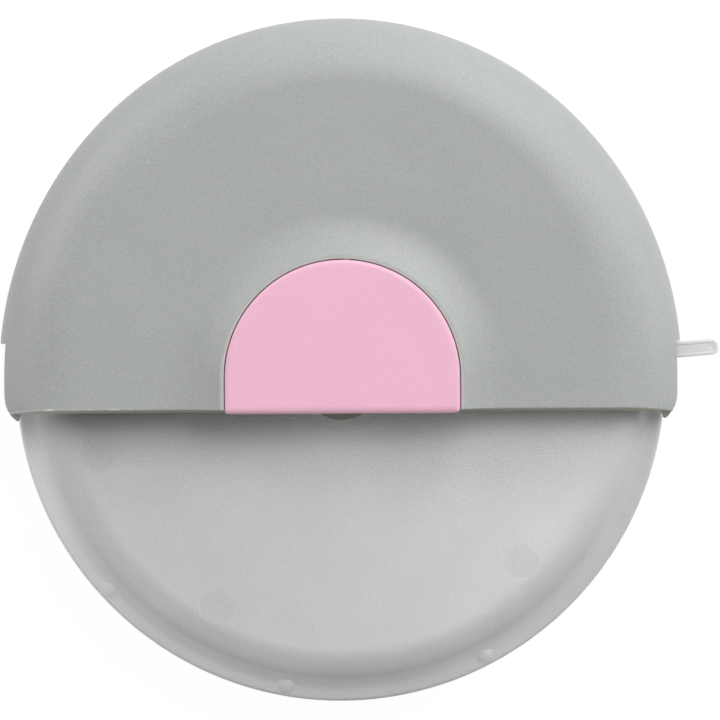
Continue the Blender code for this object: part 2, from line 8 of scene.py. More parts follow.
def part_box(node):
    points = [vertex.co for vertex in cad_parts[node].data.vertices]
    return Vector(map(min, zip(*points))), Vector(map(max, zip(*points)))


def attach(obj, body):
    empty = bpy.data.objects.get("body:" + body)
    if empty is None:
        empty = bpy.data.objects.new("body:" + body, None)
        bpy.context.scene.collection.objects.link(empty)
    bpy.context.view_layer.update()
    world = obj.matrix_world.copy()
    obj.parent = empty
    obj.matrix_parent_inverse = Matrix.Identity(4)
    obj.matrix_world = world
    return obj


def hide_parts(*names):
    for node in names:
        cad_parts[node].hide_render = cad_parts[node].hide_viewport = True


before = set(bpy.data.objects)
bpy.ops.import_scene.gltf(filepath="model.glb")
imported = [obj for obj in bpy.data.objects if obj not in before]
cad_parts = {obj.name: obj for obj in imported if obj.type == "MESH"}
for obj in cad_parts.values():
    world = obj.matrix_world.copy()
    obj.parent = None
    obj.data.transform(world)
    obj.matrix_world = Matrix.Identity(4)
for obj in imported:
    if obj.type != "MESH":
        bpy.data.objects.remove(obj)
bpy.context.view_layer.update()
scene = bpy.context.scene
mm = 0.001
bladeLow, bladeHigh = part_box("blade")
midPlane = (bladeLow[2] + bladeHigh[2]) / 2.0  # height of the wheel's own plane
print("frame loaded with", len(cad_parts), "nodes")

# Gaps in mm that are closed, and the angle in degrees past which an edge stays sharp
meshing = {"merge": 0.002, "sliver": 0.001, "treeMerge": 0.0005, "sharp": 34}


# Small tools. Pieces are drawn in mm about the wheel's plane and put in place at the end.
def linear(hexColour):
    levels = [int(hexColour[at : at + 2], 16) / 255.0 for at in (1, 3, 5)]
    return [c / 12.92 if c <= 0.04045 else ((c + 0.055) / 1.055) ** 2.4 for c in levels] + [1.0]


def setInputs(tree, node, inputs):
    for socket, source in inputs.items():
        if isinstance(source, bpy.types.NodeSocket):
            tree.links.new(source, node.inputs[socket])
        else:
            node.inputs[socket].default_value = source


def addNode(tree, kind, inputs=None, **settings):
    made = tree.nodes.new(kind)
    for name, value in settings.items():
        setattr(made, name, value)
    setInputs(tree, made, inputs or {})
    return made


def newMaterial(name):
    material = bpy.data.materials.new(name)
    material.use_nodes = True
    tree = material.node_tree
    return material, tree, tree.nodes["Principled BSDF"]


def newObject(name, shape):
    mesh = shape
    if isinstance(shape, bmesh.types.BMesh):
        mesh = bpy.data.meshes.new(name)
        shape.to_mesh(mesh)
        shape.free()
    made = bpy.data.objects.new(name, mesh)
    scene.collection.objects.link(made)
    return made


def closedMesh(points, faces):
    shape = bmesh.new()
    corners = [shape.verts.new(point) for point in points]
    for face in faces:
        shape.faces.new([corners[index] for index in face])
    bmesh.ops.recalc_face_normals(shape, faces=shape.faces)
    return shape


def loft(loops):  # closed loops of equal count, capped at both ends
    count = len(loops[0])
    faces = [list(range(count)), list(range(count * (len(loops) - 1), count * len(loops)))]
    for level in range(len(loops) - 1):
        for index in range(count):
            after = (index + 1) % count
            low, high = level * count, (level + 1) * count
            faces.append([low + index, low + after, high + after, high + index])
    return closedMesh([point for loop in loops for point in loop], faces)


def prism(outline, bottom, top):
    return loft([[(x, y, z) for x, y in outline] for z in (bottom, top)])


def arcPoints(centre, reach, rise, start, end, steps):
    turns = [math.radians(start + (end - start) * step / steps) for step in range(steps + 1)]
    return [(centre[0] + reach * math.cos(t), centre[1] + rise * math.sin(t)) for t in turns]


def archOutline(radius, foot, steps):  # straight legs under a half circle
    return [(radius, -foot)] + arcPoints((0, 0), radius, radius, 0, 180, steps) + [(-radius, -foot)]


def disc(radius, bottom, top, steps=48, centre=(0.0, 0.0)):
    return prism(arcPoints(centre, radius, radius, 0, 360 - 360 / steps, steps - 1), bottom, top)


def evaluated(made):
    return bpy.data.meshes.new_from_object(made.evaluated_get(bpy.context.evaluated_depsgraph_get()))


def carved(name, blank, steps):
    made = newObject(name, blank)
    tools = []
    for index, (operation, shape) in enumerate(steps):
        tools.append(newObject(f"{name}Tool{index}", shape))
        step = made.modifiers.new(f"step{index}", "BOOLEAN")
        step.operation = operation
        step.object = tools[-1]
        step.solver = "EXACT"
    mesh = evaluated(made)
    for thing in [made, *tools]:
        bpy.data.objects.remove(thing)
    return mesh


# Merges doubles, puts the piece in place and shades it smooth with flat faces kept flat
def finishPiece(name, mesh, side, material, body, nodes):
    mesh = mesh.copy()
    shape = bmesh.new()
    shape.from_mesh(mesh)
    bmesh.ops.remove_doubles(shape, verts=shape.verts, dist=meshing["merge"])
    bmesh.ops.dissolve_degenerate(shape, edges=shape.edges, dist=meshing["sliver"])
    place = Matrix.Translation((0, 0, midPlane)) @ Matrix.Diagonal((mm, mm, mm, 1))
    bmesh.ops.transform(shape, matrix=place @ side, verts=shape.verts)
    bmesh.ops.recalc_face_normals(shape, faces=shape.faces)
    shape.to_mesh(mesh)
    shape.free()
    mesh.shade_smooth()
    mesh.set_sharp_from_angle(angle=math.radians(meshing["sharp"]))
    mesh.materials.clear()
    mesh.materials.append(material)
    piece = newObject(name, mesh)
    weighted = piece.modifiers.new("flatFacesFlat", "WEIGHTED_NORMAL")
    weighted.keep_sharp = True
    smooth = evaluated(piece)
    piece.modifiers.clear()
    piece.data = smooth
    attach(piece, body)
    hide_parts(*nodes)
    print(name, "has", len(smooth.loop_triangles) or len(smooth.polygons), "faces")


asDrawn = Matrix.Identity(4)
turnedOver = Matrix.Rotation(math.pi, 4, "Y")
mirrored = Matrix.Diagonal((1, 1, -1, 1))


# Polypropylene, moulded against a spark-eroded tool: a satin grey whose fine, even pitting breaks up
# every reflection, with painted warm shade on the underside, a painted highlight round the cover's lip,
# and small pale nicks with a faint painted highlight line along the sharp bottom edge, mostly at the left.
def sparkErodedGrey(s):
    material, tree, shader = newMaterial("sparkErodedPolypropyleneGrey")
    place = addNode(tree, "ShaderNodeTexCoord").outputs["Object"]
    x, y, z = addNode(tree, "ShaderNodeSeparateXYZ", {"Vector": place}).outputs
    grain = {}
    # real pits are 0.05 mm, drawn at 0.3 mm so that they show
    for name, size, detail in (("cloud", 14, 3.0), ("pits", 0.3, 2.0), ("chips", 1.4, 3.0)):
        inputs = {"Vector": place, "Scale": 1 / (size * mm), "Detail": detail}
        grain[name] = addNode(tree, "ShaderNodeTexNoise", inputs).outputs["Fac"]
    inputs = {0: grain["cloud"], 6: linear("#9da09e"), 7: linear("#a4a7a5")}
    colour = addNode(tree, "ShaderNodeMix", inputs, data_type="RGBA").outputs[2]
    inputs = {0: 0.25, 6: colour, 7: grain["pits"]}
    colour = addNode(tree, "ShaderNodeMix", inputs, data_type="RGBA", blend_type="OVERLAY").outputs[2]

    # height over the drafted underside, on both halves
    edge, draft = s["ringFace"] - s["bottomRound"], math.tan(math.radians(s["bottomDraft"]))
    off = addNode(tree, "ShaderNodeMath", {0: z, 1: midPlane}, operation="SUBTRACT").outputs[0]
    off = addNode(tree, "ShaderNodeMath", {0: off}, operation="ABSOLUTE").outputs[0]
    down = addNode(tree, "ShaderNodeMath", {0: edge * mm, 1: off}, operation="SUBTRACT").outputs[0]
    down = addNode(tree, "ShaderNodeMath", {0: down, 1: 0.0}, operation="MAXIMUM").outputs[0]
    above = addNode(tree, "ShaderNodeMath", {0: down, 1: draft, 2: y}, operation="MULTIPLY_ADD").outputs[0]
    above = addNode(tree, "ShaderNodeMath", {0: above, 1: s["bottomEdge"] * mm}, operation="ADD").outputs[0]
    aside = addNode(tree, "ShaderNodeMath", {0: x}, operation="ABSOLUTE").outputs[0]
    # radius of the cover's arch, whose legs are straight below the axle
    arch = addNode(tree, "ShaderNodeMath", {0: y, 1: 0.0}, operation="MAXIMUM").outputs[0]
    arch = addNode(tree, "ShaderNodeCombineXYZ", {"X": x, "Y": arch}).outputs[0]
    arch = addNode(tree, "ShaderNodeVectorMath", {0: arch}, operation="LENGTH").outputs["Value"]

    ramps = {  # what is measured, two places in mm and the amount at each, or the name of one above
        "inward": (x, -52, -22, 0.25, 0.75),
        # painted warm shade on the drafted underside, weaker at the left end and on the boss
        "paintedUnderShade": (above, 0.02, 0.12, "inward", 0.0),
        "onBoss": (above, -0.35, -0.15, 0.3, 1.0),
        "beside": (aside, 7, 9, "onBoss", 1.0),
        # painted highlight: a pale line on the hub face round the cover's lip
        "lip": (arch, 19.2, 19.8, 0.32, 0.0),
        "paintedLipHighlight": (off, 12.1, 12.5, 0.0, 1.0),
        "edgeLow": (above, 0.04, 0.12, 0.0, 1.0),
        "edgeHigh": (above, 0.22, 0.42, 1.0, 0.0),
        "leftEnd": (x, -44, -28, 0.95, 0.1),
    }
    mask = {}
    for name, (measured, low, high, atLow, atHigh) in ramps.items():
        inputs = {"Value": measured, "From Min": low * mm, "From Max": high * mm}
        inputs |= {"To Min": mask.get(atLow, atLow), "To Max": atHigh}
        mask[name] = addNode(tree, "ShaderNodeMapRange", inputs).outputs["Result"]
    # pale nicks, and a faint painted highlight line between them, along the bottom edge, strongest at the left
    inputs = {"Value": grain["chips"], "From Min": 0.54, "From Max": 0.62, "To Min": 0.22}
    mask["nicksAndPaintedHighlight"] = addNode(tree, "ShaderNodeMapRange", inputs).outputs["Result"]
    # colours laid over the grey in turn: painted warm shade underneath, a painted lip highlight, nicks over a
    # painted highlight line
    layers = (
        ("#857c6e", ("paintedUnderShade", "beside")),
        ("#e3d9d4", ("lip", "paintedLipHighlight")),
        ("#e6e4dc", ("nicksAndPaintedHighlight", "edgeLow", "edgeHigh", "leftEnd")),
    )
    for shade, (first, *others) in layers:
        share = mask[first]
        for name in others:
            share = addNode(tree, "ShaderNodeMath", {0: share, 1: mask[name]}, operation="MULTIPLY").outputs[0]
        inputs = {0: share, 6: colour, 7: linear(shade)}
        colour = addNode(tree, "ShaderNodeMix", inputs, data_type="RGBA").outputs[2]

    rough = addNode(tree, "ShaderNodeMapRange", {"Value": grain["pits"], "To Min": 0.44, "To Max": 0.56})
    inputs = {"Height": grain["pits"], "Strength": 0.3, "Distance": 0.02 * mm}
    bump = addNode(tree, "ShaderNodeBump", inputs)
    looks = {
        "Base Color": colour,
        "Roughness": rough.outputs["Result"],
        "Normal": bump.outputs["Normal"],
        "IOR": 1.49,
    }
    setInputs(tree, shader, looks)
    return material


# Polypropylene in pale pink from a finer, stoned tool: even colour and a soft satin sheen.
def satinPink():
    material, tree, shader = newMaterial("satinPolypropylenePink")
    place = addNode(tree, "ShaderNodeTexCoord").outputs["Object"]
    inputs = {"Vector": place, "Scale": 1 / (9 * mm), "Detail": 4.0}
    cloud = addNode(tree, "ShaderNodeTexNoise", inputs).outputs["Fac"]
    inputs = {"Vector": place, "Scale": 1 / (0.25 * mm), "Detail": 2.0}
    pits = addNode(tree, "ShaderNodeTexNoise", inputs).outputs["Fac"]
    inputs = {0: cloud, 6: linear("#e9b3ca"), 7: linear("#eebad0")}
    colour = addNode(tree, "ShaderNodeMix", inputs, data_type="RGBA").outputs[2]
    inputs = {0: 0.22, 6: colour, 7: pits}
    colour = addNode(tree, "ShaderNodeMix", inputs, data_type="RGBA", blend_type="OVERLAY").outputs[2]
    rough = addNode(tree, "ShaderNodeMapRange", {"Value": pits, "To Min": 0.4, "To Max": 0.5})
    bump = addNode(tree, "ShaderNodeBump", {"Height": pits, "Strength": 0.12, "Distance": 0.015 * mm})
    looks = {
        "Base Color": colour,
        "Roughness": rough.outputs["Result"],
        "Normal": bump.outputs["Normal"],
        "IOR": 1.49,
        "Subsurface Weight": 0.1,
        "Subsurface Radius": (1.0, 0.6, 0.7),
        "Subsurface Scale": 0.8 * mm,
    }
    setInputs(tree, shader, looks)
    return material


# Natural polypropylene, unpigmented and frosted by the tool: milky, with a mottled grain and steel showing grey
# through it,
# and painted light in its colour: lighter towards the right end and in the finger tab, with a painted shadow
# under the grip.
def frostedNatural(g):
    material, tree, shader = newMaterial("frostedPolypropyleneNatural")
    place = addNode(tree, "ShaderNodeTexCoord").outputs["Object"]
    x, y, _ = addNode(tree, "ShaderNodeSeparateXYZ", {"Vector": place}).outputs
    inputs = {"Vector": place, "Scale": 1 / (0.29 * mm), "Detail": 2.0}
    frost = addNode(tree, "ShaderNodeTexNoise", inputs).outputs["Fac"]
    inputs = {"Vector": place, "Scale": 1 / (11 * mm), "Detail": 3.0}
    cloud = addNode(tree, "ShaderNodeTexNoise", inputs).outputs["Fac"]
    flat = addNode(tree, "ShaderNodeCombineXYZ", {"X": x, "Y": y}).outputs[0]
    reach = addNode(tree, "ShaderNodeVectorMath", {0: flat}, operation="LENGTH").outputs["Value"]
    aside = addNode(tree, "ShaderNodeMath", {0: x}, operation="ABSOLUTE").outputs[0]

    ramps = {  # what is measured, two places in mm and the amount at each
        "onTab": (x, 52.5, 55, 0.0, 1.0),
        "inside": (reach, 42, 48, 1.0, 0.0),
        # painted light: lighter towards the right end
        "along": (x, -50, 50, -0.1, 0.12),
        # painted shadow along the top under the grip, darkest at the left, turning to painted light from the
        # middle rightwards
        "root": (y, -15, -8, 0.0, 1.0),
        "paintedShadeAcross": (x, -38, -4, -0.26, 0.12),
        # painted light on the lower right of the face
        "lower": (y, -24, -13, 1.0, 0.0),
        "paintedLightRight": (x, 4, 38, 0.0, 0.1),
        # painted light in a streak down the middle, under the grip
        "paintedLightMiddle": (aside, 0, 9, 0.13, 0.0),
        "outer": (reach, 47.5, 49.5, 0.0, 1.0),
        # painted light on the flange at the left and painted shade at its bottom
        "leftEnd": (x, -52, -34, 0.25, 0.0),
        "bottom": (y, -52, -44, -0.12, 0.0),
        "coarse": (y, -22, -9, 0.0, 0.16 * mm),
    }
    mask = {}
    for name, (measured, low, high, atLow, atHigh) in ramps.items():
        inputs = {"Value": measured, "From Min": low * mm, "From Max": high * mm}
        inputs |= {"To Min": atLow, "To Max": atHigh}
        mask[name] = addNode(tree, "ShaderNodeMapRange", inputs).outputs["Result"]

    both = addNode(tree, "ShaderNodeMix", {0: 0.35, 2: frost, 3: cloud}).outputs[0]
    inputs = {"Value": both, "From Min": 0.28, "From Max": 0.72}
    mottled = addNode(tree, "ShaderNodeMapRange", inputs).outputs["Result"]
    polished = addNode(tree, "ShaderNodeMix", {0: mask["onTab"], 2: mottled, 3: 0.55}).outputs[0]
    inputs = {0: polished, 6: linear("#c3c4c3"), 7: linear("#d3d4d3")}
    tint = addNode(tree, "ShaderNodeMix", inputs, data_type="RGBA").outputs[2]

    # painted light and shade, kept off the shoulder and flange: lighter towards the tab's end, a painted shadow
    # near the grip that is darkest at the left, and painted light in its middle and on the lower right of the
    # face
    paintedLightAndPinGrey = mask["along"]
    for where, amount in (("root", "paintedShadeAcross"), ("lower", "paintedLightRight"), ("root", "paintedLightMiddle")):
        inputs = {0: mask[where], 1: mask[amount], 2: paintedLightAndPinGrey}
        paintedLightAndPinGrey = addNode(tree, "ShaderNodeMath", inputs, operation="MULTIPLY_ADD").outputs[0]
    inputs = {0: paintedLightAndPinGrey, 1: mask["inside"], 2: 1.0}
    paintedLightAndPinGrey = addNode(tree, "ShaderNodeMath", inputs, operation="MULTIPLY_ADD").outputs[0]
    # painted light and shade: flange lighter at the left and darker at the bottom, finger tab lighter
    edge = addNode(tree, "ShaderNodeMath", {0: mask["leftEnd"], 1: mask["bottom"]}, operation="ADD").outputs[0]
    for where, amount in ((edge, mask["outer"]), (mask["onTab"], 0.27)):
        inputs = {0: where, 1: amount, 2: paintedLightAndPinGrey}
        paintedLightAndPinGrey = addNode(tree, "ShaderNodeMath", inputs, operation="MULTIPLY_ADD").outputs[0]
    for circle, angle, _ in g["marks"]:  # thinner and greyer where a pin stood
        turn = math.radians(angle)
        centre = (circle * math.cos(turn) * mm, circle * math.sin(turn) * mm, 0.0)
        away = addNode(tree, "ShaderNodeVectorMath", {0: flat, 1: centre}, operation="DISTANCE")
        inputs = {"Value": away.outputs["Value"], "To Min": 0.95, "To Max": 1.0}
        inputs |= {"From Min": (g["markRadius"] - 0.15) * mm, "From Max": g["markRadius"] * mm}
        pin = addNode(tree, "ShaderNodeMapRange", inputs).outputs["Result"]
        paintedLightAndPinGrey = addNode(tree, "ShaderNodeMath", {0: paintedLightAndPinGrey, 1: pin}, operation="MULTIPLY").outputs[0]

    colour = addNode(tree, "ShaderNodeVectorMath", {0: tint, "Scale": paintedLightAndPinGrey}, operation="SCALE").outputs[0]
    rough = addNode(tree, "ShaderNodeMapRange", {"Value": frost, "To Min": 0.36, "To Max": 0.54})
    inputs = {0: mask["coarse"], 1: mask["inside"], 2: 0.04 * mm}
    depth = addNode(tree, "ShaderNodeMath", inputs, operation="MULTIPLY_ADD").outputs[0]
    bump = addNode(tree, "ShaderNodeBump", {"Height": frost, "Strength": 0.9, "Distance": depth})
    looks = {
        "Base Color": colour,
        "Roughness": rough.outputs["Result"],
        "Normal": bump.outputs["Normal"],
        "IOR": 1.49,
        "Transmission Weight": 0.12,
    }
    setInputs(tree, shader, looks)
    return material


# Stainless steel, ground on a turning table: fine rings about the hub that stretch each highlight.
def groundStainless():
    material, tree, shader = newMaterial("groundStainlessSteel")
    place = addNode(tree, "ShaderNodeTexCoord").outputs["Object"]
    x, y, _ = addNode(tree, "ShaderNodeSeparateXYZ", {"Vector": place}).outputs
    flat = addNode(tree, "ShaderNodeCombineXYZ", {"X": x, "Y": y}).outputs[0]
    reach = addNode(tree, "ShaderNodeVectorMath", {0: flat}, operation="LENGTH").outputs["Value"]
    turn = addNode(tree, "ShaderNodeMath", {0: y, 1: x}, operation="ARCTAN2").outputs[0]
    drift = addNode(tree, "ShaderNodeMath", {0: turn, 1: 0.0015}, operation="MULTIPLY").outputs[0]
    rings = addNode(tree, "ShaderNodeCombineXYZ", {"X": reach, "Y": drift}).outputs[0]
    # grit lines are 0.02 mm, drawn at 0.25 mm so that they show
    inputs = {"Vector": rings, "Scale": 1 / (0.25 * mm), "Detail": 3.0}
    lines = addNode(tree, "ShaderNodeTexNoise", inputs).outputs["Fac"]
    inputs = {0: lines, 6: linear("#8e9093"), 7: linear("#9ea0a2")}
    looks = {
        "Base Color": addNode(tree, "ShaderNodeMix", inputs, data_type="RGBA").outputs[2],
        "Roughness": 0.5,  # one value all over, or every reflected edge frays
        "Tangent": addNode(tree, "ShaderNodeTangent", direction_type="RADIAL", axis="Z").outputs[0],
        "Anisotropic": 0.5,
        "Metallic": 1.0,
    }
    setInputs(tree, shader, looks)
    return material


# Nickel-plated steel, turned: a greyer metal with close tool rings.
def turnedSteel():
    material, tree, shader = newMaterial("turnedNickelPlatedSteel")
    place = addNode(tree, "ShaderNodeTexCoord").outputs["Object"]
    inputs = {"Vector": place, "Scale": 1 / (6 * mm), "Distortion": 0.6, "Detail": 2.0}
    rings = addNode(tree, "ShaderNodeTexWave", inputs, wave_type="RINGS", rings_direction="Z").outputs["Fac"]
    inputs = {0: rings, 6: linear("#aeb0b3"), 7: linear("#bcbec0")}
    rough = addNode(tree, "ShaderNodeMapRange", {"Value": rings, "To Min": 0.24, "To Max": 0.36})
    looks = {
        "Base Color": addNode(tree, "ShaderNodeMix", inputs, data_type="RGBA").outputs[2],
        "Roughness": rough.outputs["Result"],
        "Metallic": 1.0,
    }
    setInputs(tree, shader, looks)
    return material


# Acetal, moulded: an off-white, waxy bearing plastic.
def waxyAcetal():
    material, tree, shader = newMaterial("mouldedAcetalWhite")
    place = addNode(tree, "ShaderNodeTexCoord").outputs["Object"]
    inputs = {"Vector": place, "Scale": 1 / (3 * mm), "Detail": 3.0}
    cloud = addNode(tree, "ShaderNodeTexNoise", inputs).outputs["Fac"]
    inputs = {0: cloud, 6: linear("#e2e2dd"), 7: linear("#eaeae6")}
    rough = addNode(tree, "ShaderNodeMapRange", {"Value": cloud, "To Min": 0.34, "To Max": 0.44})
    looks = {
        "Base Color": addNode(tree, "ShaderNodeMix", inputs, data_type="RGBA").outputs[2],
        "Roughness": rough.outputs["Result"],
        "IOR": 1.48,
    }
    setInputs(tree, shader, looks)
    return material


pinkPlastic = satinPink()
bladeSteel = groundStainless()
axleSteel = turnedSteel()
hubPlastic = waxyAcetal()
print("plain materials made")


# Grip shell, one half. Its skin runs in rows from the seam over the rim to the hub's lip.
shell = {
    "halfWidth": 55.0,
    "crown": 57.6,
    "seam": 0.1,
    "seamRound": 0.2,
    "seamFoot": 0.3,  # bottom round at the seam
    "rimWidth": 10.2,
    "rimSide": 11.9,
    "ringFace": 10.0,
    "wall": 2.0,
    "ceiling": 8.0,
    "hubFace": 12.6,
    "flareFoot": 26.75,
    "lip": 19.68,
    "lipRound": 0.07,
    "lipLand": 0.05,
    "pocket": 19.04,
    "bottomEdge": 5.2,
    "bottomDraft": 6.3,
    "bottomWall": 1.2,
    "bottomRound": 0.28,
    "bottomFade": 0.4,  # share of the bottom round that is gone at the lip
    "heelLevel": 4.6,
    "heelDraft": 60.0,
    "heelEnd": 3.7,
    "cornerRound": 5.0,
    "cornerStart": 3.0,
    "cornerFrom": 49.5,
    "cornerFull": 54.2,
    "mouthTop": 4.9,
    "mouthClear": 0.1,
    "slotHalf": 3.85,
    "slotInner": 47.25,
    "slotAngle": 5.8,
    "bossRadius": 6.85,
    "bossEnd": 2.85,
    "bossBare": 4.75,
    "bossSetback": 0.4,
    "axleHole": 2.6,
    "headSeat": 4.2,
    "headFloor": 8.2,
    "ribRadius": 34.0,
    "ribEnd": 5.0,
    "ribWidth": 1.2,
    "ribMargin": 14.0,
    "sunk": 0.3,  # how far boss and rib run into the ceiling
    "past": 5.0,  # how far the cutting shapes run below the seam and beyond the sides
    "far": 15.0,  # how far they run below the axle and over the face
    "rimSteps": 26,
    "flareSteps": 14,
    "lipSteps": 4,
    "archSteps": 144,
    "legSteps": 8,
    "legStart": 0.05,
    "roundSteps": 6,
    "mouthSteps": 8,
}
greyPlastic = sparkErodedGrey(shell)


def shellRows(s):  # half width, height, level, slope of the surface, bottom round and corner bend
    rows = []
    rise = s["ringFace"] - s["seam"]
    inset = s["seamRound"]
    rows.append((s["halfWidth"] - inset, s["crown"] - inset, s["seam"], (1.0, 0.0), s["seamFoot"], 1.0))
    for step in range(1, s["rimSteps"] + 1):
        t = math.radians(90.0 * step / s["rimSteps"])
        slope = Vector((math.cos(t) / s["rimSide"], math.sin(t) / rise)).normalized()
        reach = s["halfWidth"] - s["rimSide"] * (1.0 - math.cos(t))
        height = s["crown"] - s["rimWidth"] * (1.0 - math.cos(t))
        bend = min(1.0, max(0.0, (reach - s["cornerFrom"]) / (s["cornerFull"] - s["cornerFrom"])))
        rows.append((reach, height, s["seam"] + rise * math.sin(t), slope, s["bottomRound"], bend))
    flare, lift = s["flareFoot"] - s["lip"], s["hubFace"] - s["ringFace"]
    sweep = (flare**2 + lift**2) / (2.0 * lift)
    for step in range(s["flareSteps"] + 1):
        inward = (flare - s["lipRound"]) * step / s["flareSteps"]
        reach = s["flareFoot"] - inward
        drop = math.sqrt(sweep**2 - inward**2)
        level = s["ringFace"] + sweep - drop
        slope = Vector((inward / drop, 1.0)).normalized()
        foot = s["bottomRound"] * (1.0 - s["bottomFade"] * step / s["flareSteps"])
        rows.append((reach, reach, level, slope, foot, 0.0))
    start, corner = Vector((reach, level)), Vector((s["lip"], s["hubFace"]))
    end = Vector((s["lip"] - s["lipRound"] - s["lipLand"], s["hubFace"]))
    for step in range(1, s["lipSteps"] + 1):  # rounds the flare into the lip
        t = step / s["lipSteps"]
        point = start * (1 - t) ** 2 + corner * 2 * t * (1 - t) + end * t**2
        along = (corner - start) * (1 - t) + (end - corner) * t
        slope = Vector((along.y, -along.x)).normalized()
        rows.append((point.x, point.x, point.y, slope, foot, 0.0))
    reach = s["pocket"] - s["wall"]
    rows.append((reach, reach, s["hubFace"], Vector((0.0, 1.0)), foot, 0.0))
    return rows


def legPoint(s, row, y):  # point and normal on the straight leg of a row
    reach, _, level, slope, _, bend = row
    below = max(0.0, -s["cornerStart"] - y)
    drop = math.sqrt(s["cornerRound"] ** 2 - below**2)
    point = Vector((reach - bend * (s["cornerRound"] - drop), y, level))
    return point, Vector((slope[0], -slope[0] * bend * below / drop, slope[1])).normalized()


# Draft, start and depth of the underside: upright at the hub, drafted below the ring, slanted at the heel
def bottomPlane(s, level):
    edge, depth = s["ringFace"] - s["bottomRound"], s["bottomEdge"]
    if level > s["ringFace"] - 0.001:
        return 0.0, edge, depth
    draft, heel = math.radians(s["bottomDraft"]), math.radians(s["heelDraft"])
    if level > s["heelLevel"]:
        return draft, edge, depth
    depth += (edge - s["heelLevel"]) * math.tan(draft)
    if level > s["heelEnd"]:
        return heel, s["heelLevel"], depth
    return 0.0, s["heelEnd"], depth + (s["heelLevel"] - s["heelEnd"]) * math.tan(heel)


def shellRowPoints(s, row):
    draft, top, depth = bottomPlane(s, row[2])
    down = Vector((0.0, -math.cos(draft), math.sin(draft)))
    radius = row[4]
    y = -s["bottomEdge"]
    for _ in range(12):  # finds where a ball of the bottom round touches skin and bottom alike
        point, normal = legPoint(s, row, y)
        centre = point - normal * radius
        clear = (centre.y + depth + (top - centre.z) * math.tan(draft)) * math.cos(draft)
        y -= clear - radius
    right = []
    for step in range(s["roundSteps"] + 1):
        t = 1.0 - step / s["roundSteps"]
        right.append(centre + normal.slerp(down, t) * radius)
    for step in range(s["legSteps"]):
        share = s["legStart"] + (1.0 - s["legStart"]) * step / s["legSteps"]
        right.append(legPoint(s, row, y * (1.0 - share))[0])
    half = s["archSteps"] // 2
    for step in range(half):
        t = math.radians(90.0 * step / half)
        right.append(Vector((row[0] * math.cos(t), row[1] * math.sin(t), row[2])))
    left = [Vector((-point.x, point.y, point.z)) for point in reversed(right)]
    return right + [Vector((0.0, row[1], row[2]))] + left


def shellBlank(s):
    rows = [shellRowPoints(s, row) for row in shellRows(s)]
    count, last, k = len(rows[0]), len(rows) - 1, s["roundSteps"]
    at = lambda row, column: row * count + column
    faces = []
    for row in range(last):
        for column in range(count - 1):
            near, after = at(row, column), at(row + 1, column)
            faces.append([near, near + 1, after + 1, after])
    faces.append([at(0, column) for column in range(count)])
    faces.append([at(last, column) for column in range(k, count - k)])
    for step in range(k):
        far = count - 1 - step
        faces.append([at(last, step), at(last, step + 1), at(last, far - 1), at(last, far)])
    far = count - 1
    for row in range(s["rimSteps"]):
        faces.append([at(row, 0), at(row + 1, 0), at(row + 1, far), at(row, far)])
    hub = range(s["rimSteps"], last + 1)
    faces.append([at(row, 0) for row in hub] + [at(row, far) for row in reversed(hub)])
    return closedMesh([point for row in rows for point in row], faces)


def shellCavity(s):
    side, top = s["halfWidth"] - s["wall"], s["crown"] - s["wall"]
    foot, width = s["bottomEdge"] - s["bottomWall"], s["rimWidth"] - s["wall"]
    levels = [(0.0, -s["past"])]
    levels += [(width - x, z) for x, z in arcPoints((0, 0), width, s["ceiling"], 0, 90, 10)]
    loops = []
    for inset, level in levels:
        loop = [(side - inset, -foot, level)]
        loop += [(x, y, level) for x, y in arcPoints((0, 0), side - inset, top - inset, 0, 180, 72)]
        loops.append(loop + [(inset - side, -foot, level)])
    return loft(loops)


def shellMouth(s):
    width = s["rimWidth"] - s["wall"]
    side = []
    for step in range(s["mouthSteps"] + 1):
        level = s["mouthTop"] * step / s["mouthSteps"]
        inset = width * (1.0 - math.sqrt(1.0 - (level / s["ceiling"]) ** 2))
        side.append((s["halfWidth"] - s["wall"] - inset - s["mouthClear"], level))
    outline = [(side[0][0], -s["past"]), *side]
    outline += [(-x, level) for x, level in reversed(outline)]
    top = 1.0 - s["bottomEdge"] + s["bottomWall"]
    return loft([[(x, y, level) for x, level in outline] for y in (-s["far"], top)])


def shellPocket(s):
    lip = s["lipRound"]
    flare = arcPoints((s["pocket"] + lip, s["hubFace"] - lip), lip, lip, 180, 90, 5)
    levels = [(s["pocket"], s["ringFace"])] + flare + [(flare[-1][0], s["hubFace"] + 1.0)]
    return loft([[(x, y, z) for x, y in archOutline(radius, s["far"], s["archSteps"])] for radius, z in levels])


def shellSlot(s, way):
    near, far, low = s["slotInner"], s["halfWidth"] + s["past"], -s["far"]
    slope = math.tan(math.radians(s["slotAngle"]))
    outline = [(near, low), (far, low), (far, far * slope), (near, near * slope)]
    return prism([(way * x, y) for x, y in outline], -s["past"], s["slotHalf"])


def ribArc(s):
    angles = (s["ribMargin"], 180.0 - s["ribMargin"])
    inner, outer = s["ribRadius"] - s["ribWidth"] / 2, s["ribRadius"] + s["ribWidth"] / 2
    outline = arcPoints((0, 0), outer, outer, *angles, 48)
    outline += arcPoints((0, 0), inner, inner, *reversed(angles), 48)
    return prism(outline, s["ribEnd"], s["ceiling"] + s["sunk"])


def pivotBoss(s):  # full round where the guard turns on it, cut back flush above that
    column = disc(s["bossRadius"], s["bossEnd"], s["ceiling"] + s["sunk"], 72)
    reach, edge = s["bossRadius"] + 1.0, s["bottomEdge"] + s["bossSetback"]
    outline = [(-reach, -reach), (reach, -reach), (reach, -edge), (-reach, -edge)]
    return carved("pivotBoss", column, [("DIFFERENCE", prism(outline, s["bossBare"], s["ringFace"]))])


